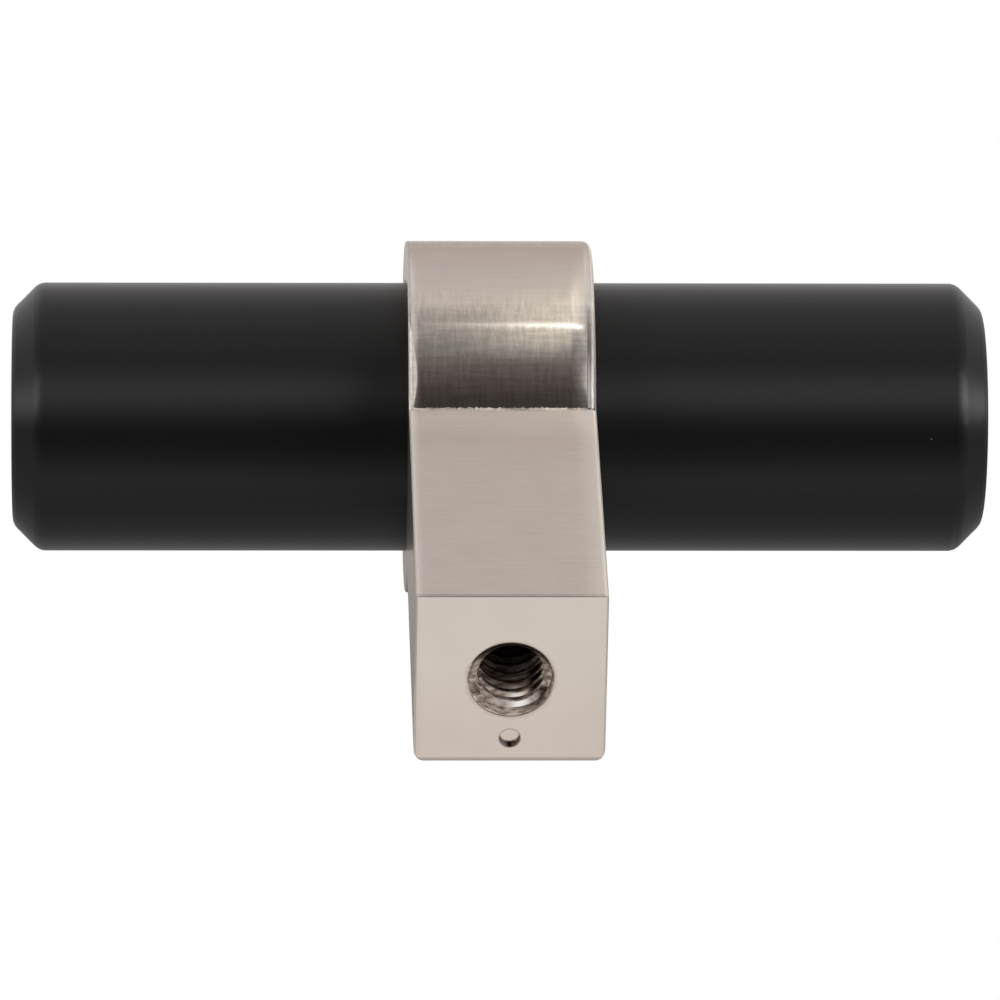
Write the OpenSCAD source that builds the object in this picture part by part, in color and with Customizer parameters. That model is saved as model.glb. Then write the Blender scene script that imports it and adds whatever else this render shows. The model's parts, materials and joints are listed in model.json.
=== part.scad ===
// Cabinet pull: a round bar held through the ring of a square-footed post.
// The mounting face lies in the plane y = 0 and the part reaches out along -Y, as on a vertical door.
// The bar runs along X. The origin is the centre of the mounting face, where the tapped hole opens.

/* [Bar] */
// Length of the round bar
bar_length = 50.8; // [30:0.1:160]
// Diameter of the round bar
bar_d = 14.05; // [11:0.05:18]
// Size of the 45 degree chamfer round each end of the bar
bar_chamfer = 1.4; // [0.8:0.05:3]
// Radius that softens the two edges of that chamfer
bar_chamfer_round = 0.8; // [0.2:0.05:0.9]

/* [Post] */
// Distance from the mounting face to the axis of the bar
axis_height = 26.1; // [24:0.1:40]
// Width of the ring and of the foot, along the bar
post_width = 9.7; // [8:0.1:16]
// Height of the foot, across the bar
foot_height = 10; // [9.5:0.1:15]
// Thickness of the ring's wall round the bar
ring_wall = 2.15; // [1.2:0.05:4]
// Rounding of the ring's rim on the -X side
rim_minus_x = 0.5; // [0.1:0.05:0.6]
// Rounding of the ring's rim on the +X side
rim_plus_x = 0.15; // [0.1:0.05:0.6]
// Rounding of the foot's long upper edge on the -X side
foot_minus_x = 0.25; // [0.1:0.05:0.6]
// Rounding of the foot's long upper edge on the +X side
foot_plus_x = 0.15; // [0.1:0.05:0.6]
// Rounding of the foot's two long lower edges
foot_low = 0.9; // [0.1:0.05:1.2]
// Rounding of the mounting face's lower edge
face_low = 0.45; // [0.1:0.05:0.6]
// Rounding of the mounting face's other three edges
face_round = 0.12; // [0.05:0.01:0.4]

/* [Mounting hole] */
// Major diameter of the mounting thread, an 8-32 screw
thread_d = 4.16; // [3:0.02:5]
// Countersink round the mouth of the mounting hole, measured along its radius
mouth_chamfer = 0.1; // [0.05:0.01:0.4]
// Full angle of the drill point at the bottom of the mounting hole
drill_angle = 118; // [90:1:140]

/* [Locating dimple] */
// Diameter of the blind dimple below the mounting hole
dimple_d = 1.05; // [0.6:0.05:1.4]
// Depth of the dimple
dimple_depth = 0.3; // [0.2:0.05:2]
// Distance from the axis of the mounting hole down to that of the dimple
dimple_drop = 3.45; // [3.3:0.01:3.8]

/* [Set screw] */
// Nominal diameter of the headless screw that grips the bar
grub_d = 3; // [2:0.1:3]
// Length of that screw
grub_length = 5; // [3:0.1:8]
// Size of the hexagon socket across its flats
grub_socket = 1.5; // [0.9:0.05:1.6]
// Depth of the hexagon socket
grub_socket_depth = 2; // [0.8:0.1:2.5]
// Diameter of the screw's flat point
grub_point_d = 2; // [1:0.05:2]
// Chamfer at the socket end of the screw
grub_chamfer = 0.25; // [0.1:0.05:0.4]
// How far the screw stops below the bottom of the mounting hole's full thread
grub_recess = 1; // [0.7:0.1:3]
// Depth of the seat that the point of the screw has in the bar
spot_depth = 0.4; // [0.1:0.05:1]

/* [Fits] */
// Gap round the bar inside the ring, on the radius
bar_gap = 0.05; // [0.02:0.01:0.15]
// Gap round the set screw in its thread, on the radius
grub_gap = 0.04; // [0.02:0.01:0.1]
// Chamfer on both mouths of the ring's bore
bore_chamfer = 0.15; // [0.05:0.05:0.4]

/* [Hidden] */
$fn = 96;
// How far a cutter runs past the face it opens
over = 1;

bar_r = bar_d / 2;
bore_r = bar_r + bar_gap;
ring_r = bore_r + ring_wall;
half_width = post_width / 2;
half_height = foot_height / 2;

thread_r = thread_d / 2;
grub_hole_r = grub_d / 2;
grub_r = grub_hole_r - grub_gap;
point_r = grub_point_d / 2;
socket_r = grub_socket / 2 / cos(30);
// Distances from the bar's axis towards the mounting face
seat_at = bar_r - spot_depth;
grub_end_at = seat_at + grub_length;
// Depth of the mounting hole's full thread, which stops short of the set screw
hole_depth = axis_height - grub_end_at - grub_recess;
drill_point = (thread_r - grub_hole_r) / tan(drill_angle / 2);

// The one or two points that a rectangle's corner keeps once radius r is cut from it
function corner(x, y, r, a, b) = r > 0 ? [[x + a[0] * r, y + a[1] * r], [x + b[0] * r, y + b[1] * r]] : [[x, y]];

// A rectangle from (x0, y0) to (x1, y1) with the radii r at its corners,
// taken in turn from (x0, y0) through (x1, y0) and (x1, y1) to (x0, y1)
module soft_rect(x0, y0, x1, y1, r) {
    polygon(concat(
        corner(x0, y0, r[0], [0, 1], [1, 0]),
        corner(x1, y0, r[1], [-1, 0], [0, 1]),
        corner(x1, y1, r[2], [0, -1], [-1, 0]),
        corner(x0, y1, r[3], [1, 0], [0, -1])
    ));
    if (r[0] > 0) translate([x0 + r[0], y0 + r[0]]) circle(r[0]);
    if (r[1] > 0) translate([x1 - r[1], y0 + r[1]]) circle(r[1]);
    if (r[2] > 0) translate([x1 - r[2], y1 - r[2]]) circle(r[2]);
    if (r[3] > 0) translate([x0 + r[3], y1 - r[3]]) circle(r[3]);
}

// Places what is turned about Z on the axis of the bar, with its +Z along +X
module on_bar_axis() {
    translate([0, -axis_height, 0]) rotate([0, 90, 0]) children();
}

// Places what is turned about Z on the axis of the mounting hole, with z = 0 at
// the bar's axis and +Z towards the mounting face
module on_hole_axis() {
    translate([0, -axis_height, 0]) rotate([-90, 0, 0]) children();
}

// Half of the bar's outline, from its middle to one chamfered end
module bar_profile() {
    end = bar_length / 2;
    r = bar_chamfer_round;
    // Tangent length of the rounding at an edge that turns by 45 degrees
    t = r * tan(22.5);
    slant = t / sqrt(2);
    side_edge = end - bar_chamfer;
    face_edge = bar_r - bar_chamfer;
    polygon([
        [0, 0],
        [bar_r, 0],
        [bar_r, side_edge - t],
        [bar_r - slant, side_edge + slant],
        [face_edge + slant, end - slant],
        [face_edge - t, end],
        [0, end]
    ]);
    translate([bar_r - r, side_edge - t]) circle(r);
    translate([face_edge - t, end - r]) circle(r);
}

module bar() {
    color("#242426")
    difference() {
        on_bar_axis() {
            rotate_extrude() bar_profile();
            mirror([0, 0, 1]) rotate_extrude() bar_profile();
        }
        on_hole_axis() translate([0, 0, seat_at]) cylinder(r = grub_hole_r, h = spot_depth + over);
    }
}

// The ring as a solid disc with rounded rims, before it is bored
module ring_blank() {
    on_bar_axis() rotate_extrude()
        soft_rect(0, -half_width, ring_r, half_width, [0, rim_minus_x, rim_plus_x, 0]);
}

// The foot, where three outlines at right angles meet and round its edges
module foot_blank() {
    intersection() {
        rotate([90, 0, 0]) linear_extrude(axis_height)
            soft_rect(-half_width, -half_height, half_width, half_height,
                [foot_low, foot_low, foot_plus_x, foot_minus_x]);
        translate([0, 0, -foot_height]) linear_extrude(2 * foot_height)
            soft_rect(-half_width, -axis_height - over, half_width, 0, [0, 0, face_round, face_round]);
        translate([-post_width, 0, 0]) rotate([90, 0, 90]) linear_extrude(2 * post_width)
            soft_rect(-axis_height - over, -half_height, 0, half_height, [0, face_low, face_round, 0]);
    }
}

// The ring's bore with a chamfer at both mouths
module ring_bore() {
    on_bar_axis() {
        cylinder(r = bore_r, h = post_width + 2 * over, center = true);
        for (side = [0, 1]) mirror([0, 0, side])
            translate([0, 0, half_width - bore_chamfer])
                cylinder(r1 = bore_r, r2 = bore_r + bore_chamfer + over, h = bore_chamfer + over);
    }
}

// The mounting thread's hole with its drill point, and the set screw's hole beyond it
module mounting_hole() {
    on_hole_axis() {
        cylinder(r = grub_hole_r, h = axis_height);
        translate([0, 0, axis_height - hole_depth]) cylinder(r = thread_r, h = hole_depth + over);
        translate([0, 0, axis_height - hole_depth - drill_point])
            cylinder(r1 = grub_hole_r, r2 = thread_r, h = drill_point);
        translate([0, 0, axis_height - mouth_chamfer])
            cylinder(r1 = thread_r, r2 = thread_r + mouth_chamfer + over, h = mouth_chamfer + over);
    }
}

module dimple() {
    on_hole_axis() translate([0, dimple_drop, axis_height - dimple_depth])
        cylinder(d = dimple_d, h = dimple_depth + over);
}

module post() {
    color("#b9aea3")
    difference() {
        union() {
            ring_blank();
            foot_blank();
        }
        ring_bore();
        mounting_hole();
        dimple();
    }
}

module set_screw() {
    point = grub_r - point_r;
    color("#57534e")
    on_hole_axis() difference() {
        union() {
            translate([0, 0, seat_at]) cylinder(r1 = point_r, r2 = grub_r, h = point);
            translate([0, 0, seat_at + point]) cylinder(r = grub_r, h = grub_length - point - grub_chamfer);
            translate([0, 0, grub_end_at - grub_chamfer])
                cylinder(r1 = grub_r, r2 = grub_r - grub_chamfer, h = grub_chamfer);
        }
        translate([0, 0, grub_end_at - grub_socket_depth])
            cylinder(r = socket_r, h = grub_socket_depth + over, $fn = 6);
    }
}

bar();
post();
set_screw();
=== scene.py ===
"""The looks of a cabinet pull: a matte black bar through the ring of a brushed nickel post.

The mounting face is the plane y = 0, the bar runs along X, +Z is up. Lengths in this script are in
millimetres, as the materials read them, and MM turns one into the model's metres.
"""

import json
from math import cos, pi, radians, sin, sqrt
from types import SimpleNamespace

import bmesh
import bpy
from mathutils import Matrix, Vector


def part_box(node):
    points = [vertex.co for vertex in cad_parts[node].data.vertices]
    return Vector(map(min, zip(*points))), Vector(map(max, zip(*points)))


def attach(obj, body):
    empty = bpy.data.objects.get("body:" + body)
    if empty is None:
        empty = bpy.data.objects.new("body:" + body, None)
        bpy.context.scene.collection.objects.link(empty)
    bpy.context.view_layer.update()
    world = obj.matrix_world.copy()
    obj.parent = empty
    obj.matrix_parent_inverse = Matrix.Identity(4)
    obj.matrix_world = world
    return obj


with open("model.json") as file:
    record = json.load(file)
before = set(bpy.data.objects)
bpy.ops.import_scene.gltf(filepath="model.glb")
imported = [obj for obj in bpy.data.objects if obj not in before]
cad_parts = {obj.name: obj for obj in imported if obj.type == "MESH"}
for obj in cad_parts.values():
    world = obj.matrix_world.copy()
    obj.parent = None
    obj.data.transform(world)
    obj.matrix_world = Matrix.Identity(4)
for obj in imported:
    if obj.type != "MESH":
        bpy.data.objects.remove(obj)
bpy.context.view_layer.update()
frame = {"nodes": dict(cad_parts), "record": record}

MM = 0.001

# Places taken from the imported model
BAR_LOW, BAR_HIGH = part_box("bar")
POST_LOW, POST_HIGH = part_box("post")
BAR_AXIS_Y = (BAR_HIGH.y + BAR_LOW.y) / 2 / MM
RING_RADIUS = POST_HIGH.z / MM
HALF_WIDTH = POST_HIGH.x / MM
LOWEST_Z = POST_LOW.z / MM
HOLE = next(m for m in frame["record"]["mounts"] if m["name"] == "mounting_hole")
HOLE_RADIUS = HOLE["dims"]["r_mm"]
HOLE_LENGTH = HOLE["dims"]["length_mm"]

# The countersink round the hole's mouth
COUNTERSINK = 0.1
MOUTH_RADIUS = HOLE_RADIUS + COUNTERSINK

# Height of the foot's upper face, where the ring rises from it, and the half width of the change
# from the look of one to that of the other
FOOT_TOP = 5
CORNER_Y = BAR_AXIS_Y + sqrt(RING_RADIUS ** 2 - FOOT_TOP ** 2)
CORNER_BLUR = 0.05

# The dimple below the mounting hole
DIMPLE_Z = -3.45
DIMPLE_RADIUS = 0.525

# The 8-32 thread: its pitch, the ridge it leaves inside the hole, where that starts, the degrees
# it is turned by there, its steps in a turn, and from how many degrees its edges are sharp
PITCH = 0.79375
CREST_RADIUS = 1.72
CREST_HALF = 0.09
ROOT_HALF = 0.33
ROOT_DEPTH = 0.08
THREAD_START = 0.36
THREAD_START_TURN = 41
THREAD_STEPS = 40
SHARP_ANGLE = 30

# The line along which the ridge's corners and faces are put in order, mostly the hole's axis
SORT_LINE = Vector((1, 100, 10))

# Below, a look sets in from none at the first place of a pair to all at the second.
# Along Y: front of the ring, the hole outside the ring, what is close to the mounting face, the
# part of the hole's wall out of its painted deep shade and the lit part of its thread
RING_FRONT = (-23, -22.5)
OUTSIDE_RING = (-15, -14.5)
CLOSE_TO_FACE = (-1, -0.5)
WALL_OUT_OF_SHADE = (-5.6, -2.8)
LIT_THREAD = (-4.4, -2.8)

# Along Z on the ring: brush strokes, the stronger fine strokes, painted shade on the rims and its
# darker part
STROKES_BELOW = (9.1, 8.5)
FINE_STROKES_BELOW = (8.5, 8.0)
RIM_SHADE_BELOW = (9.6, 7.2)
RIM_DEEPER_SHADE_BELOW = (7.3, 6.8)

# Along Z on the mounting face and in its hole: the face's warmer tint, painted black shade under
# the rim, a bare countersink and a clean one, torn metal on the wall, and lit flanks of the thread
WARM_BELOW = (2, -4)
SHADE_UNDER_RIM_ABOVE = (0.7, 1.5)
BARE_SINK_ABOVE = (-0.5, 0.5)
CLEAN_SINK_BELOW = (-0.2, -0.8)
TORN_BELOW = (-0.8, -1.3)
LIT_BELOW = (-0.6, -1.2)

# Out from the hole's axis: a clean countersink, the thread's shining flanks, its lit flanks and
# its glint
CLEAN_SINK_FROM = (MOUTH_RADIUS - 0.06, MOUTH_RADIUS - 0.03)
SHINING_FROM = (1.725, 1.76)
LIT_FROM = (1.74, 1.78)
GLINT_FROM = (1.8, 1.87)

# The middle of the glint along X, and how it sets in towards that
GLINT_X = -0.5
GLINT_WITHIN = (0.8, 0.1)

# How far the surface leans to a side on a rounded edge, where that begins and where it ends
EDGE_FROM = (0.12, 0.3)
EDGE_TO = (0.99, 0.95)

# Roughness of the nickel on the ring, and what the foot and worn edges add to it
RING_ROUGHNESS = 0.14
FOOT_ROUGHER = 0.07
WORN_ROUGHER = 0.3

# How far a brush stroke leans the surface
STROKE_LEAN = 0.018

# Where the hand polish rolls the post's sides over, and how far the foot's hollow reaches
ROLL_PLUS_X = 4.2
ROLL_MINUS_X = -3.5
HOLLOW_LENGTH = 3

# How strongly the surface bends there, per millimetre: at the rolled sides, over the crown
# between them and in the hollow
ROLL_PLUS_BEND = -0.28
ROLL_MINUS_BEND = -0.08
CROWN_BEND = -0.006
HOLLOW_BEND = 0.033

# The ragged line in the corner: its greatest reach, how much of that is cut off, and the two
# angles that it faces, in degrees above +Y
LINE_REACH = 0.34
LINE_CUT = 0.09
LINE_ANGLES = (52, 63)

# The narrow flat on the ring's +X rim: its middle, its width there, how fast it narrows, and
# the way it faces
FLAT_Z = 6.4
FLAT_WIDTH = 0.42
FLAT_TAPER = 0.115
FLAT_FACING = (0.265, 0.704, 0.659)

# The way that the torn metal in the hole faces
TORN_FACING = (-0.21, 0.71, 0.672)

# The bar's pale specks: cells in a millimetre, a speck's radius in widths of a cell, and the value
# from which a cell has one
SPECK_CELLS = 0.45
SPECK_RADIUS = 0.03
SPECK_FROM = 0.72

# The bar's black in its darker and paler parts, and its specks
BLACK = ((0.0015, 0.0015, 0.0017, 1), (0.003, 0.003, 0.0034, 1))
SPECK = (0.1, 0.1, 0.1, 1)

# Nickel in its darker and paler strokes, and what the mounting face is multiplied by, high and low
NICKEL = ((0.556, 0.504, 0.456, 1), (0.678, 0.621, 0.572, 1))
FACE_TINTS = ((0.995, 0.971, 0.948, 1), (0.965, 0.912, 0.892, 1))

# Bare metal of the hole, brown and torn; painted shade deep inside and high up under the rim; the
# thread's painted glint; and how metallic its crests are
BARE_BROWN = (0.17, 0.12, 0.095, 1)
BARE_TORN = (0.5, 0.42, 0.36, 1)
DEEP_PAINTED_SHADE = (0.035, 0.018, 0.014, 1)
UNDER_RIM_PAINTED_SHADE = (0.03, 0.02, 0.016, 1)
GLINT = (1.0, 0.96, 0.92, 1)
CREST_METALLIC = 0.2

# Stain round the hole, painted shade on the ring's rims, and a darker ring round the dimple's
# rim with painted shade along the mounting face's upper edge
STAIN = (0.33, 0.25, 0.19, 1)
RING_RIM_PAINTED_SHADE = (0.02, 0.02, 0.02, 1)
DIMPLE_RING_AND_EDGE_SHADE = (0.1, 0.07, 0.06, 1)

# The photograph's camera, from a fit of the pull's outlines
CAMERA_AT = Vector((16.43, 434.417, 270.974)) * MM
CAMERA_RIGHT = Vector((-0.999519, 0.026258, 0.016496))
CAMERA_UP = Vector((0.000647, -0.514172, 0.857687))
CAMERA_LENS = 366.71
CAMERA_CLIP = 10
SENSOR = 36.0

# Half the floor's length, how far it lies below the pull's lowest point, and how far out its light
# still changes
FLOOR_HALF = 6000
FLOOR_DROP = 45
FLOOR_REACH = 300

# The thin strip light: its angle above the +Y direction and its half width, in degrees
STRIP_ANGLE = 92.9
STRIP_CORE = 0.5
STRIP_EDGE = 1.5
STRIP_STRENGTH = 2.8

# The softboxes: where along X their middle lies, half their width, their angle above the +Y
# direction and half their height in degrees, and their soft edge, as the sum of two squares that
# is 1 on the oval's outline
BOX_MIDDLE = 1
BOX_HALF_WIDTH = 0.72
BOX_ANGLE = 58
BOX_HALF_HEIGHT = 21
BOX_EDGE = (1.05, 0.85)


def node(tree, kind, inputs=None, **settings):
    """A shader node with its settings, and its inputs given as values or as sockets to link."""
    made = tree.nodes.new(kind)
    for name, value in settings.items():
        setattr(made, name, value)
    for name, value in (inputs or {}).items():
        socket = made.inputs[name]
        if isinstance(value, bpy.types.NodeSocket):
            tree.links.new(value, socket)
        else:
            socket.default_value = value
    return made


def math(tree, operation, a, b=None, c=None):
    """The result of one Math node."""
    inputs = {i: v for i, v in enumerate((a, b, c)) if v is not None}
    return node(tree, "ShaderNodeMath", inputs, operation=operation).outputs[0]


def product(tree, first, *others):
    """The product of several values."""
    for other in others:
        first = math(tree, "MULTIPLY", first, other)
    return first


def squared(tree, value):
    """A value times itself."""
    return math(tree, "MULTIPLY", value, value)


def sum_of_squares(tree, a, b):
    """The squares of two values added."""
    return math(tree, "ADD", squared(tree, a), squared(tree, b))


def distance(tree, a, b):
    """How far the point (a, b) lies from (0, 0)."""
    return math(tree, "SQRT", sum_of_squares(tree, a, b))


def ramp(tree, value, stops):
    """A colour ramp's colour at a value, from (position, grey or colour) stops."""
    made = node(tree, "ShaderNodeValToRGB", {"Fac": value})
    band = made.color_ramp
    while len(band.elements) < len(stops):
        band.elements.new(0.5)
    for element, (at, shade) in zip(band.elements, stops):
        element.position = at
        element.color = (*shade, 1) if isinstance(shade, tuple) else (shade, shade, shade, 1)
    return made.outputs["Color"]


def step(tree, value, zero_at, one_at):
    """A smooth change from 0 at one value to 1 at another, which may be the smaller."""
    made = node(
        tree, "ShaderNodeMapRange",
        {"Value": value, "From Min": zero_at, "From Max": one_at},
        interpolation_type="SMOOTHSTEP",
    )
    return made.outputs["Result"]


def mix(tree, factor, a, b, kind="RGBA"):
    """Two colours or two vectors mixed."""
    first, second, result = {"RGBA": (6, 7, 2), "VECTOR": (4, 5, 1)}[kind]
    made = node(tree, "ShaderNodeMix", {"Factor": factor, first: a, second: b}, data_type=kind)
    return made.outputs[result]


def blend(tree, how, a, b):
    """Two colours added or multiplied."""
    return node(
        tree, "ShaderNodeMix", {"Factor": 1.0, 6: a, 7: b}, data_type="RGBA", blend_type=how
    ).outputs[2]


def new_material(name, **values):
    """An empty material with its node tree and Principled shader, set to plain values."""
    material = bpy.data.materials.new(name)
    material.use_nodes = True
    tree = material.node_tree
    tree.nodes.clear()
    shader = tree.nodes.new("ShaderNodeBsdfPrincipled")
    for socket, value in values.items():
        shader.inputs[socket.replace("_", " ")].default_value = value
    output = tree.nodes.new("ShaderNodeOutputMaterial")
    tree.links.new(shader.outputs["BSDF"], output.inputs["Surface"])
    return material, tree, shader


def link(tree, shader, **sockets):
    """Links results to a shader's inputs, named with _ for a space."""
    for name, value in sockets.items():
        tree.links.new(value, shader.inputs[name.replace("_", " ")])


def place(tree, scale=(1, 1, 1)):
    """Object coordinates in millimetres, stretched by scale."""
    coordinates = node(tree, "ShaderNodeTexCoord")
    mapping = node(
        tree, "ShaderNodeMapping",
        {"Vector": coordinates.outputs["Object"], "Scale": [s / MM for s in scale]},
    )
    return mapping.outputs["Vector"]


def split(tree, vector):
    """The X, Y and Z of a vector."""
    return node(tree, "ShaderNodeSeparateXYZ", {"Vector": vector}).outputs


def noise(tree, scale, detail=3.0, roughness=0.55):
    """Noise over the object, with frequencies per millimetre along X, Y and Z."""
    made = node(
        tree, "ShaderNodeTexNoise",
        {"Vector": place(tree, scale), "Scale": 1.0, "Detail": detail, "Roughness": roughness},
    )
    return made.outputs["Fac"]


def bump(tree, height, depth, under=None):
    """The normal of a surface raised by height times depth, on top of another such surface."""
    inputs = {"Height": height, "Strength": 1.0, "Distance": depth}
    if under:
        inputs["Normal"] = under
    return node(tree, "ShaderNodeBump", inputs).outputs["Normal"]


# The bar's material

def matte_black():
    """Satin black finish of the turned bar: nearly black, with a shine drawn out along the bar
    by the turning, a fine tooth and a few pale specks."""
    material, tree, shader = new_material(
        "matte_black", Roughness=0.42, Anisotropic=0.8, Specular_IOR_Level=0.25,
    )
    along_bar = node(tree, "ShaderNodeCombineXYZ", {"X": 1.0}).outputs[0]
    cells = node(
        tree, "ShaderNodeTexVoronoi",
        {"Vector": place(tree), "Scale": SPECK_CELLS, "Randomness": 1.0},
    )
    dot = math(tree, "LESS_THAN", cells.outputs["Distance"], SPECK_RADIUS)
    chosen = math(tree, "GREATER_THAN", split(tree, cells.outputs["Color"])["X"], SPECK_FROM)
    cloud = mix(tree, noise(tree, (0.25, 0.25, 0.25), detail=4), *BLACK)
    tint = mix(tree, product(tree, dot, chosen), cloud, SPECK)
    tooth = bump(tree, noise(tree, (7, 7, 7), detail=4), 0.0032 * MM)
    link(tree, shader, Tangent=along_bar, Base_Color=tint, Normal=tooth)
    return material


# The post's material

def post_places(tree):
    """Where a point of the post lies, which way it faces, and masks of the post's parts."""
    x, y, z = split(tree, place(tree))
    facing = node(tree, "ShaderNodeNewGeometry").outputs["Normal"]
    normal = split(tree, facing)
    lean_x = math(tree, "ABSOLUTE", normal["X"])
    lean_y = math(tree, "ABSOLUTE", normal["Y"])
    sideways = step(tree, lean_x, 0.6, 0.8)
    on_foot = step(tree, y, CORNER_Y - CORNER_BLUR, CORNER_Y + CORNER_BLUR)
    off_foot = math(tree, "SUBTRACT", 1.0, on_foot)
    return SimpleNamespace(
        x=x, y=y, z=z, facing=facing, normal=normal, lean_x=lean_x, on_foot=on_foot,
        sideways=sideways,
        not_side=math(tree, "LESS_THAN", lean_x, 0.97),
        not_end=step(tree, normal["Y"], 0.6, 0.4),
        off_ring=math(tree, "MAXIMUM", sideways, on_foot),
        ring_front=product(tree, step(tree, y, *RING_FRONT), off_foot),
        at_face=step(tree, y, *CLOSE_TO_FACE),
        from_axis=distance(tree, x, z),
        side_edge=product(tree, step(tree, lean_x, *EDGE_FROM), step(tree, lean_x, *EDGE_TO)),
        end_edge=product(tree, step(tree, lean_y, *EDGE_FROM), step(tree, lean_y, *EDGE_TO)),
    )


def shine_direction(tree, spot):
    """The way that the shine is drawn out, across the brush's lines."""
    across = math(tree, "MAXIMUM", spot.sideways, product(tree, spot.on_foot, spot.not_end))
    return mix(tree, across, (1, 0, 0), (0, 1, 0), "VECTOR")


def nickel_roughness(tree, spot):
    """Roughness of the nickel: least on the ring, more on the foot and most on worn edges."""
    worn = math(tree, "MAXIMUM", spot.side_edge, product(tree, spot.end_edge, spot.on_foot))
    plain = math(tree, "MULTIPLY_ADD", spot.off_ring, FOOT_ROUGHER, RING_ROUGHNESS)
    return math(tree, "MULTIPLY_ADD", worn, WORN_ROUGHER, plain)


def brush_strokes(tree, spot):
    """Strength of the brush's strokes, round the ring from just below its top and along X."""
    round_ring = math(tree, "SUBTRACT", noise(tree, (5, 0.7, 0.7), detail=5, roughness=0.7), 0.5)
    along_x = math(tree, "SUBTRACT", noise(tree, (0.45, 5, 5), detail=4), 0.5)
    on_ring = math(tree, "SUBTRACT", 1.0, spot.off_ring)
    on_ring = product(tree, on_ring, step(tree, spot.z, *STROKES_BELOW))
    low = math(tree, "MULTIPLY_ADD", step(tree, spot.z, *FINE_STROKES_BELOW), 0.5, 0.2)
    on_foot = product(tree, spot.not_end, 0.12)
    share = math(tree, "MULTIPLY_ADD", on_ring, low, on_foot)
    return math(tree, "ADD", product(tree, round_ring, on_ring), product(tree, along_x, share))


def stroke_normal(tree, spot, strokes):
    """The surface's normal, leant a little by each stroke along the way that the brush went."""
    way = node(
        tree, "ShaderNodeVectorMath", {0: (1, 0, 0), 1: spot.facing}, operation="CROSS_PRODUCT"
    )
    lean = product(tree, strokes, STROKE_LEAN)
    return node(
        tree, "ShaderNodeVectorMath", {0: way.outputs[0], 1: lean, 2: spot.facing},
        operation="MULTIPLY_ADD",
    ).outputs[0]


def hand_shape(tree, spot):
    """Height of the shape left by hand: rolled edges, a slight crown, and a hollow in the foot
    where it meets the ring."""
    over_plus = math(tree, "MAXIMUM", math(tree, "SUBTRACT", spot.x, ROLL_PLUS_X), 0.0)
    over_minus = math(tree, "MINIMUM", math(tree, "SUBTRACT", spot.x, ROLL_MINUS_X), 0.0)
    to_corner = math(tree, "SUBTRACT", CORNER_Y + HOLLOW_LENGTH, spot.y)
    in_hollow = product(tree, math(tree, "MAXIMUM", to_corner, 0.0), spot.on_foot)
    bends = [
        (over_plus, ROLL_PLUS_BEND), (over_minus, ROLL_MINUS_BEND),
        (spot.x, CROWN_BEND), (in_hollow, HOLLOW_BEND),
    ]
    height = 0.0
    for across, bend in bends:
        height = math(tree, "MULTIPLY_ADD", squared(tree, across), bend, height)
    return product(tree, height, spot.not_side)


def corner_line(tree, spot, surface):
    """A normal with the ragged line where the wheel stopped in the corner of foot and ring."""
    from_corner = distance(
        tree, math(tree, "SUBTRACT", spot.y, CORNER_Y), math(tree, "SUBTRACT", spot.z, FOOT_TOP)
    )
    ragged = noise(tree, (8, 1.5, 1.5), detail=3)
    reach = math(tree, "MULTIPLY_ADD", ragged, LINE_REACH, -LINE_CUT)
    low, high = ((0, cos(radians(angle)), sin(radians(angle))) for angle in LINE_ANGLES)
    patches = step(tree, noise(tree, (0.6, 0.6, 0.6), detail=5), 0.42, 0.58)
    facing = mix(tree, patches, low, high, "VECTOR")
    return mix(tree, math(tree, "LESS_THAN", from_corner, reach), surface, facing, "VECTOR")


def rim_flat(tree, spot):
    """1 on the narrow flat that the wheel left on the ring's +X rim, widest at half height."""
    above = math(tree, "SUBTRACT", spot.z, FLAT_Z)
    width = math(tree, "MULTIPLY_ADD", squared(tree, above), -FLAT_TAPER, FLAT_WIDTH)
    near_edge = math(tree, "GREATER_THAN", math(tree, "ADD", spot.x, width), HALF_WIDTH)
    return product(tree, near_edge, spot.ring_front, spot.not_side)


def rim_painted_shade(tree, spot, on_flat):
    """Painted shade that darkens the ring's rims in front, from stops of (lean to the side,
    shade).
    """
    outer = [(0.44, 0.88), (0.55, 0.52), (0.65, 0.33), (0.8, 0.3), (0.97, 0.0)]
    rim_shade = mix(
        tree, step(tree, spot.z, *RIM_DEEPER_SHADE_BELOW),
        ramp(tree, spot.lean_x, [(0.02, 0.0), (0.2, 0.88), *outer]),
        ramp(tree, spot.lean_x, [(0.02, 0.0), (0.1, 0.88), (0.25, 0.93), *outer]),
    )
    off_flat = math(tree, "SUBTRACT", spot.ring_front, on_flat)
    return product(tree, rim_shade, step(tree, spot.z, *RIM_SHADE_BELOW), off_flat)


def nickel_tint(tree, spot, strokes):
    """Colour of the clean nickel, which the strokes vary, warmer low on the mounting face."""
    cloud = math(tree, "MULTIPLY_ADD", noise(tree, (0.4, 0.4, 0.4), detail=2), 0.4, 0.3)
    tint = mix(tree, math(tree, "MULTIPLY_ADD", strokes, 5.0, cloud), *NICKEL)
    on_face = product(tree, step(tree, spot.normal["Y"], 0.8, 0.95), spot.on_foot)
    warmer = mix(tree, step(tree, spot.z, *WARM_BELOW), *FACE_TINTS)
    return mix(tree, on_face, tint, blend(tree, "MULTIPLY", tint, warmer))


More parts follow.
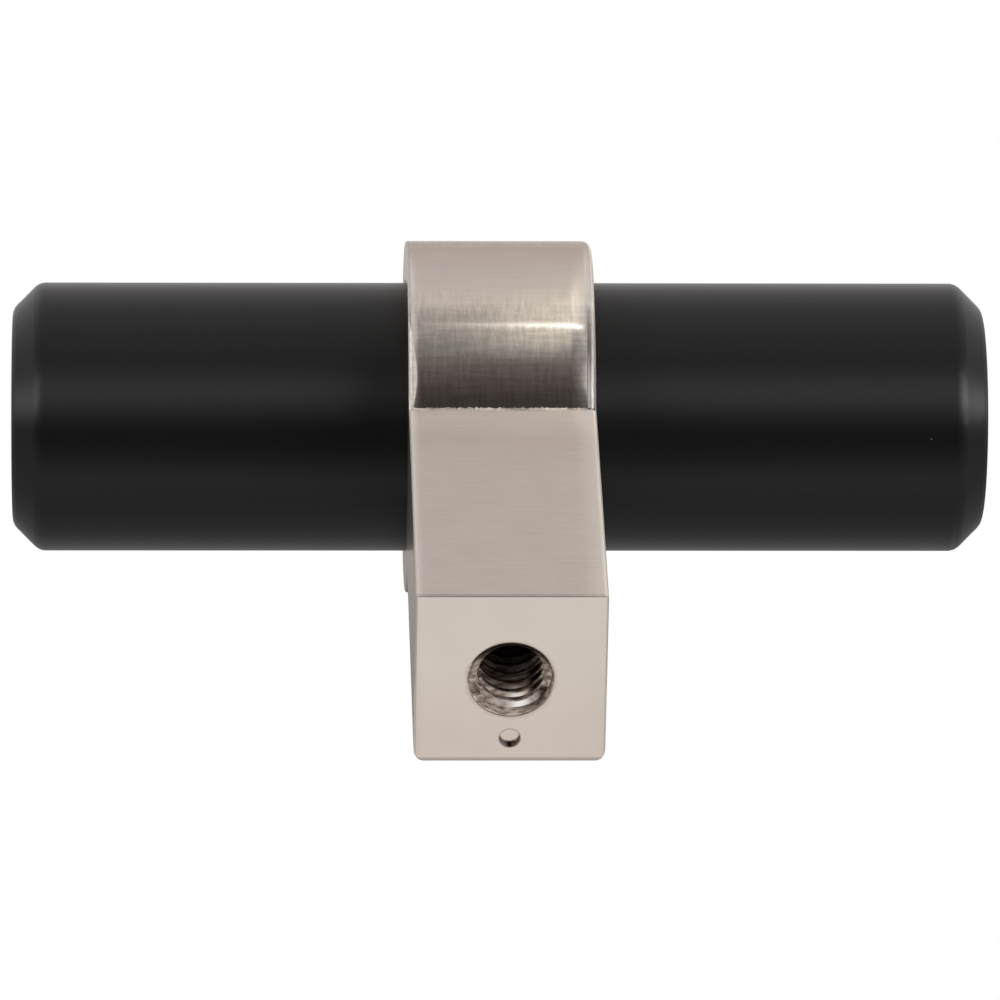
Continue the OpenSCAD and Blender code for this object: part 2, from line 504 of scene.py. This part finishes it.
def hole_places(tree, spot):
    """Masks of the hole: its inside, the stain round it, its low wall and low countersink."""
    outside_ring = step(tree, spot.y, *OUTSIDE_RING)
    stain_edge = math(tree, "MULTIPLY_ADD", noise(tree, (0.9, 0.9, 0.9), detail=4), 0.9, 1.95)
    stain = product(tree, step(tree, spot.from_axis, stain_edge, MOUTH_RADIUS), outside_ring)

    # Low down the bare metal fades out across the countersink, and high up just past it
    high = step(tree, spot.z, *BARE_SINK_ABOVE)
    edge = math(tree, "MULTIPLY_ADD", high, COUNTERSINK, MOUTH_RADIUS)
    inside = step(tree, math(tree, "SUBTRACT", spot.from_axis, edge), 0.0, -COUNTERSINK)
    inside = product(tree, inside, outside_ring)

    steep = step(tree, spot.normal["Y"], 0.9, 0.8)
    return SimpleNamespace(
        stain=product(tree, stain, 0.35),
        inside=inside,
        low_wall=product(tree, inside, steep, step(tree, spot.z, *TORN_BELOW)),
        low_countersink=product(
            tree, step(tree, spot.normal["Y"], 0.3, 0.6), steep,
            step(tree, spot.z, *CLEAN_SINK_BELOW),
            step(tree, spot.from_axis, *CLEAN_SINK_FROM), spot.at_face,
        ),
    )


def bare_hole_with_shade(tree, y, z):
    """Colour of the hole's bare metal, brown with torn bright patches, under painted shade that
    darkens it deep inside and makes it black high up under the rim."""
    torn = step(tree, noise(tree, (2, 4, 4), detail=5), 0.36, 0.64)
    near = mix(tree, torn, BARE_BROWN, BARE_TORN)
    # Painted shade: the wall grows dark deep inside, and black high up under the rim
    wall = mix(tree, step(tree, y, *WALL_OUT_OF_SHADE), DEEP_PAINTED_SHADE, near)
    return mix(tree, step(tree, z, *SHADE_UNDER_RIM_ABOVE), wall, UNDER_RIM_PAINTED_SHADE)


def dimple_ring_and_edge_shade(tree, spot):
    """A darker ring round the dimple's rim, and painted shade along the mounting face's upper
    edge.
    """
    from_dimple = distance(tree, spot.x, math(tree, "SUBTRACT", spot.z, DIMPLE_Z))
    off_rim = math(tree, "ABSOLUTE", math(tree, "SUBTRACT", from_dimple, DIMPLE_RADIUS))
    # Painted shade along the mounting face's upper edge
    upper_edge = product(tree, spot.end_edge, step(tree, spot.normal["Z"], 0.1, 0.3), 0.7)
    either = math(tree, "MAXIMUM", step(tree, off_rim, 0.07, 0.02), upper_edge)
    return product(tree, either, spot.at_face, 0.6)


def brushed_nickel():
    """Satin nickel of the post. The brush went round the ring and across the foot, polishing by
    hand rolled its edges off and left a flat on one rim, and the hole is bare metal inside.
    Painted shade darkens the hole deep inside and under its rim, the ring's rims in front and the
    mounting face's upper edge."""
    material, tree, shader = new_material(
        "brushed_nickel", Metallic=1.0, Anisotropic=0.5, Specular_Tint=(0.72, 0.66, 0.62, 1),
    )
    spot = post_places(tree)
    hole = hole_places(tree, spot)
    strokes = brush_strokes(tree, spot)
    on_flat = rim_flat(tree, spot)

    surface = bump(tree, hand_shape(tree, spot), MM, stroke_normal(tree, spot, strokes))
    surface = corner_line(tree, spot, surface)
    surface = mix(tree, on_flat, surface, FLAT_FACING, "VECTOR")
    surface = mix(tree, hole.low_wall, surface, TORN_FACING, "VECTOR")
    surface = mix(tree, hole.low_countersink, surface, (0, 1, 0), "VECTOR")

    tint = nickel_tint(tree, spot, strokes)
    tint = mix(tree, hole.stain, tint, STAIN)
    # The hole's bare metal, with painted shade deep inside and under the rim
    tint = mix(tree, hole.inside, tint, bare_hole_with_shade(tree, spot.y, spot.z))
    # Painted shade that darkens the ring's rims in front
    tint = mix(tree, rim_painted_shade(tree, spot, on_flat), tint, RING_RIM_PAINTED_SHADE)
    # A darker ring round the dimple's rim, and painted shade along the mounting face's upper edge
    tint = mix(tree, dimple_ring_and_edge_shade(tree, spot), tint, DIMPLE_RING_AND_EDGE_SHADE)

    link(
        tree, shader, Tangent=shine_direction(tree, spot), Roughness=nickel_roughness(tree, spot),
        Base_Color=tint, Normal=surface,
    )
    return material


# Materials inside the hole

def cut_thread():
    """Thread cut into the casting: the hole's bare metal, with painted shade deep inside and under
    the rim, bright flanks low down near the mouth, a painted glint in their middle and brown,
    hardly shining crests."""
    material, tree, shader = new_material("cut_thread", Roughness=0.2)
    x, y, z = split(tree, place(tree))
    from_axis = distance(tree, x, z)
    lit = product(
        tree, step(tree, y, *LIT_THREAD), step(tree, z, *LIT_BELOW),
        step(tree, from_axis, *LIT_FROM),
    )
    off_middle = math(tree, "ABSOLUTE", math(tree, "SUBTRACT", x, GLINT_X))
    middle = step(tree, off_middle, *GLINT_WITHIN)
    glint = product(tree, middle, step(tree, from_axis, *GLINT_FROM), lit)
    # A painted glint: a near-white patch in the middle of the lit flanks
    tint = mix(tree, glint, bare_hole_with_shade(tree, y, z), GLINT)
    shining = step(tree, from_axis, *SHINING_FROM)
    metallic = math(tree, "MULTIPLY_ADD", shining, 1 - CREST_METALLIC, CREST_METALLIC)
    rough = bump(tree, noise(tree, (3, 3, 3), detail=4), 0.04 * MM)
    surface = mix(tree, lit, rough, TORN_FACING, "VECTOR")
    link(tree, shader, Base_Color=tint, Metallic=metallic, Normal=surface)
    return material


def screw_steel():
    """Dull steel of the set screw, deep in the hole."""
    material, tree, shader = new_material("screw_steel", Metallic=1.0)
    grain = noise(tree, (3, 3, 3), detail=4)
    roughness = node(
        tree, "ShaderNodeMapRange", {"Value": grain, "To Min": 0.35, "To Max": 0.55}
    ).outputs["Result"]
    tint = mix(tree, grain, (0.15, 0.135, 0.12, 1), (0.26, 0.24, 0.22, 1))
    link(tree, shader, Base_Color=tint, Roughness=roughness)
    return material


def give(obj, material):
    """Puts one material on all of an object."""
    obj.data.materials.clear()
    obj.data.materials.append(material)


# Added pieces

def thread_ridge():
    """The ridge of the mounting thread, wound once per pitch round the wall of the hole."""
    bm = bmesh.new()
    root = HOLE_RADIUS + ROOT_DEPTH
    start = -THREAD_START
    corners = [
        (root, start + ROOT_HALF), (CREST_RADIUS, start + CREST_HALF),
        (CREST_RADIUS, start - CREST_HALF), (root, start - ROOT_HALF),
    ]
    verts = [bm.verts.new((r * MM, y * MM, 0)) for r, y in corners]
    profile = bm.faces.new(verts)
    turned = Matrix.Rotation(radians(THREAD_START_TURN), 3, "Y")
    bmesh.ops.rotate(bm, verts=verts, cent=(0, 0, 0), matrix=turned)
    turns = (HOLE_LENGTH - 2 * THREAD_START) / PITCH
    steps = round(turns * THREAD_STEPS)
    bmesh.ops.spin(
        bm, geom=[profile, *profile.edges, *verts], cent=(0, 0, 0), axis=(0, 1, 0),
        dvec=(0, -PITCH * MM / THREAD_STEPS, 0), angle=-steps * 2 * pi / THREAD_STEPS,
        steps=steps, use_merge=False, use_duplicate=False,
    )
    bmesh.ops.recalc_face_normals(bm, faces=bm.faces)

    # The spin leaves corners and faces in an order that changes from run to run
    bm.verts.sort(key=lambda vert: vert.co.dot(SORT_LINE))
    bm.faces.sort(key=lambda face: face.calc_center_median().dot(SORT_LINE))
    mesh = bpy.data.meshes.new("thread_ridge")
    bm.to_mesh(mesh)
    bm.free()
    mesh.shade_smooth()
    mesh.set_sharp_from_angle(angle=radians(SHARP_ANGLE))
    piece = bpy.data.objects.new("thread_ridge", mesh)
    bpy.context.scene.collection.objects.link(piece)
    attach(piece, "root")
    return piece


# Scene

def add_camera():
    """The camera at the photograph's viewing angle."""
    data = bpy.data.cameras.new("camera")
    data.sensor_width = SENSOR
    data.lens = CAMERA_LENS
    data.clip_start = CAMERA_CLIP * MM
    camera = bpy.data.objects.new("camera", data)
    right = CAMERA_RIGHT.normalized()
    back = right.cross(CAMERA_UP).normalized()
    up = back.cross(right)
    turned = Matrix((right, up, back)).transposed().to_4x4()
    camera.matrix_world = Matrix.Translation(CAMERA_AT) @ turned
    bpy.context.scene.collection.objects.link(camera)
    bpy.context.scene.camera = camera


def white_to_camera(tree, lit):
    """A shader that the camera sees as plain white and that lights the pull as given."""
    plain = node(tree, "ShaderNodeEmission", {"Color": (1, 1, 1, 1), "Strength": 1.0})
    path = node(tree, "ShaderNodeLightPath")
    return node(
        tree, "ShaderNodeMixShader",
        {0: path.outputs["Is Camera Ray"], 1: lit, 2: plain.outputs[0]},
    ).outputs[0]


def floor_light(tree):
    """The floor's light, by how far a point lies in front of the mounting face."""
    y = split(tree, place(tree))["Y"]
    across = node(
        tree, "ShaderNodeMapRange",
        {"Value": y, "From Min": -FLOOR_REACH, "From Max": FLOOR_REACH},
    )
    # Darker from about 128 mm behind the mounting face to just in front of it: a painted shadow of
    # the pull on the floor, which only the pull's reflections see
    stops = [
        (-200, 0.8),
        (-128, 0.75),
        (-88, 0.38),
        (-28, 0.45),
        (30, 0.68),
        (78, 1.02),
        (110, 1.02),
        (145, 0.8),
        (250, 0.55),
        (299, 0.4),
    ]
    return ramp(tree, across.outputs["Result"], [
        ((out + FLOOR_REACH) / (2 * FLOOR_REACH), shade) for out, shade in stops
    ])


def add_floor():
    """A plain pale floor like a light table, brightest in front of the pull."""
    mesh = bpy.data.meshes.new("floor")
    bm = bmesh.new()
    bmesh.ops.create_grid(bm, x_segments=1, y_segments=1, size=FLOOR_HALF * MM)
    bmesh.ops.translate(bm, vec=(0, 0, (LOWEST_Z - FLOOR_DROP) * MM), verts=bm.verts)
    bm.to_mesh(mesh)
    bm.free()
    floor = bpy.data.objects.new("floor", mesh)
    bpy.context.scene.collection.objects.link(floor)
    material = bpy.data.materials.new("pale_floor")
    material.use_nodes = True
    tree = material.node_tree
    tree.nodes.clear()
    lit = node(tree, "ShaderNodeEmission", {"Color": floor_light(tree), "Strength": 1.0})
    node(
        tree, "ShaderNodeOutputMaterial", {"Surface": white_to_camera(tree, lit.outputs[0])}
    )
    give(floor, material)


def on_ramp(degrees):
    """Where an angle from -180 to 180 degrees lies on a ramp from 0 to 1."""
    return degrees / 360 + 0.5


def angle_ramp(tree, turn, stops):
    """A colour ramp from (degrees above the +Y direction, grey or colour) stops."""
    return ramp(tree, turn, [(on_ramp(degrees), shade) for degrees, shade in stops])


def overhead_light(tree, turn, side):
    """The room's light above and behind the pull, with the lower-hanging light on the -X side."""
    middle = angle_ramp(tree, turn, [
        (-40, 1.0),
        (0, (0.16, 0.14, 0.13)),
        (15, (0.055, 0.047, 0.045)),
        (43, (0.054, 0.046, 0.045)),
        (53, (0.095, 0.083, 0.083)),
        (65, (0.172, 0.155, 0.15)),
        (77, 0.29),
        (83, (0.34, 0.33, 0.32)),
        (87, (0.42, 0.41, 0.39)),
        (95, (0.45, 0.43, 0.41)),
        (101, (0.52, 0.495, 0.475)),
        (110, (0.77, 0.73, 0.7)),
        (120, (0.79, 0.74, 0.72)),
        (150, (0.76, 0.71, 0.7)),
        (179.9, (0.78, 0.73, 0.72)),
    ])

    # On the -X side the overhead light hangs lower, and its corner is cut off
    lift = ramp(tree, side, [(0.35, 20 / 360), (0.37, 9 / 360), (0.4, 0.0)])
    lower = angle_ramp(tree, math(tree, "SUBTRACT", turn, lift), [
        (64, 0.0),
        (68, 0.05),
        (72, 0.25),
        (76, (0.55, 0.53, 0.45)),
        (82, (0.7, 0.68, 0.58)),
        (88, (0.66, 0.64, 0.54)),
        (100, (0.56, 0.54, 0.46)),
        (109, (0.26, 0.25, 0.19)),
        (125, (0.05, 0.05, 0.03)),
        (150, 0.0),
    ])
    width = ramp(tree, side, [(0.32, 1.0), (0.42, 1.0), (0.45, 0.5), (0.48, 0.15), (0.55, 0.0)])
    return blend(tree, "ADD", middle, blend(tree, "MULTIPLY", lower, width))


def side_light(tree, turn):
    """The room's light on both sides of the pull."""
    return angle_ramp(tree, turn, [
        (-20, 0.6),
        (0, 0.3),
        (15, 0.06),
        (42, 0.12),
        (66, (0.32, 0.31, 0.33)),
        (86, 0.7),
        (115, 0.85),
        (140, 1.0),
        (179.9, 1.1),
    ])


def strip_light(tree, turn, side):
    """The thin strip light over the pull, which fades out towards +X."""
    off_strip = math(tree, "ABSOLUTE", math(tree, "SUBTRACT", turn, on_ramp(STRIP_ANGLE)))
    along = ramp(tree, side, [
        (0.19, 0.0), (0.22, 1.0), (0.415, 1.0), (0.46, 0.35), (0.54, 0.12), (0.56, 0.0),
    ])
    lit = step(tree, off_strip, STRIP_EDGE / 360, STRIP_CORE / 360)
    return product(tree, lit, along, STRIP_STRENGTH)


def softboxes(tree, turn, x, away):
    """A mask of the oval softbox on either side of the pull, and its light, brightest far out."""
    across = math(tree, "MULTIPLY_ADD", away, 1 / BOX_HALF_WIDTH, -BOX_MIDDLE / BOX_HALF_WIDTH)
    per_height = 360 / BOX_HALF_HEIGHT
    up = math(tree, "MULTIPLY_ADD", turn, per_height, -on_ramp(BOX_ANGLE) * per_height)
    in_box = step(tree, sum_of_squares(tree, across, up), *BOX_EDGE)
    light = ramp(tree, away, [
        (0.28, (0.35, 0.34, 0.36)),
        (0.4, 0.7),
        (0.5, 1.1),
        (0.6, 1.2),
        (0.8, 14.0),
    ])
    weaker_plus_x = ramp(tree, x, [(0.45, 1.0), (0.55, 0.55)])
    return in_box, blend(tree, "MULTIPLY", light, weaker_plus_x)


def add_studio():
    """Soft studio light: a bright room behind and overhead, a dark gap where the camera stands,
    a thin strip light over the pull and a softbox on either side of the gap."""
    world = bpy.data.worlds.new("studio")
    bpy.context.scene.world = world
    world.use_nodes = True
    tree = world.node_tree
    tree.nodes.clear()
    coordinates = node(tree, "ShaderNodeTexCoord")
    x, y, z = split(tree, coordinates.outputs["Generated"])

    # A direction's turn about X, 0.5 towards +Y, its lean to the side, 0.5 for none and more
    # towards +X, and how far it leans to either side
    angle = math(tree, "ARCTAN2", z, y)
    turn = math(tree, "MULTIPLY_ADD", angle, 1 / (2 * pi), 0.5)
    side = math(tree, "ADD", x, 0.5)
    away = math(tree, "ABSOLUTE", x)

    in_box, box_light = softboxes(tree, turn, x, away)
    sides = mix(tree, in_box, side_light(tree, turn), box_light)
    mixed = mix(tree, step(tree, away, 0.12, 0.4), overhead_light(tree, turn, side), sides)
    mixed = mix(tree, in_box, mixed, box_light)
    mixed = blend(tree, "ADD", mixed, strip_light(tree, turn, side))
    light = node(tree, "ShaderNodeBackground", {"Color": mixed, "Strength": 1.0})
    node(
        tree, "ShaderNodeOutputWorld", {"Surface": white_to_camera(tree, light.outputs[0])}
    )


add_camera()
add_floor()
add_studio()
scene = bpy.context.scene
scene.view_settings.view_transform = "Standard"

give(frame["nodes"]["bar"], matte_black())
give(frame["nodes"]["post"], brushed_nickel())
give(frame["nodes"]["set_screw"], screw_steel())
give(thread_ridge(), cut_thread())
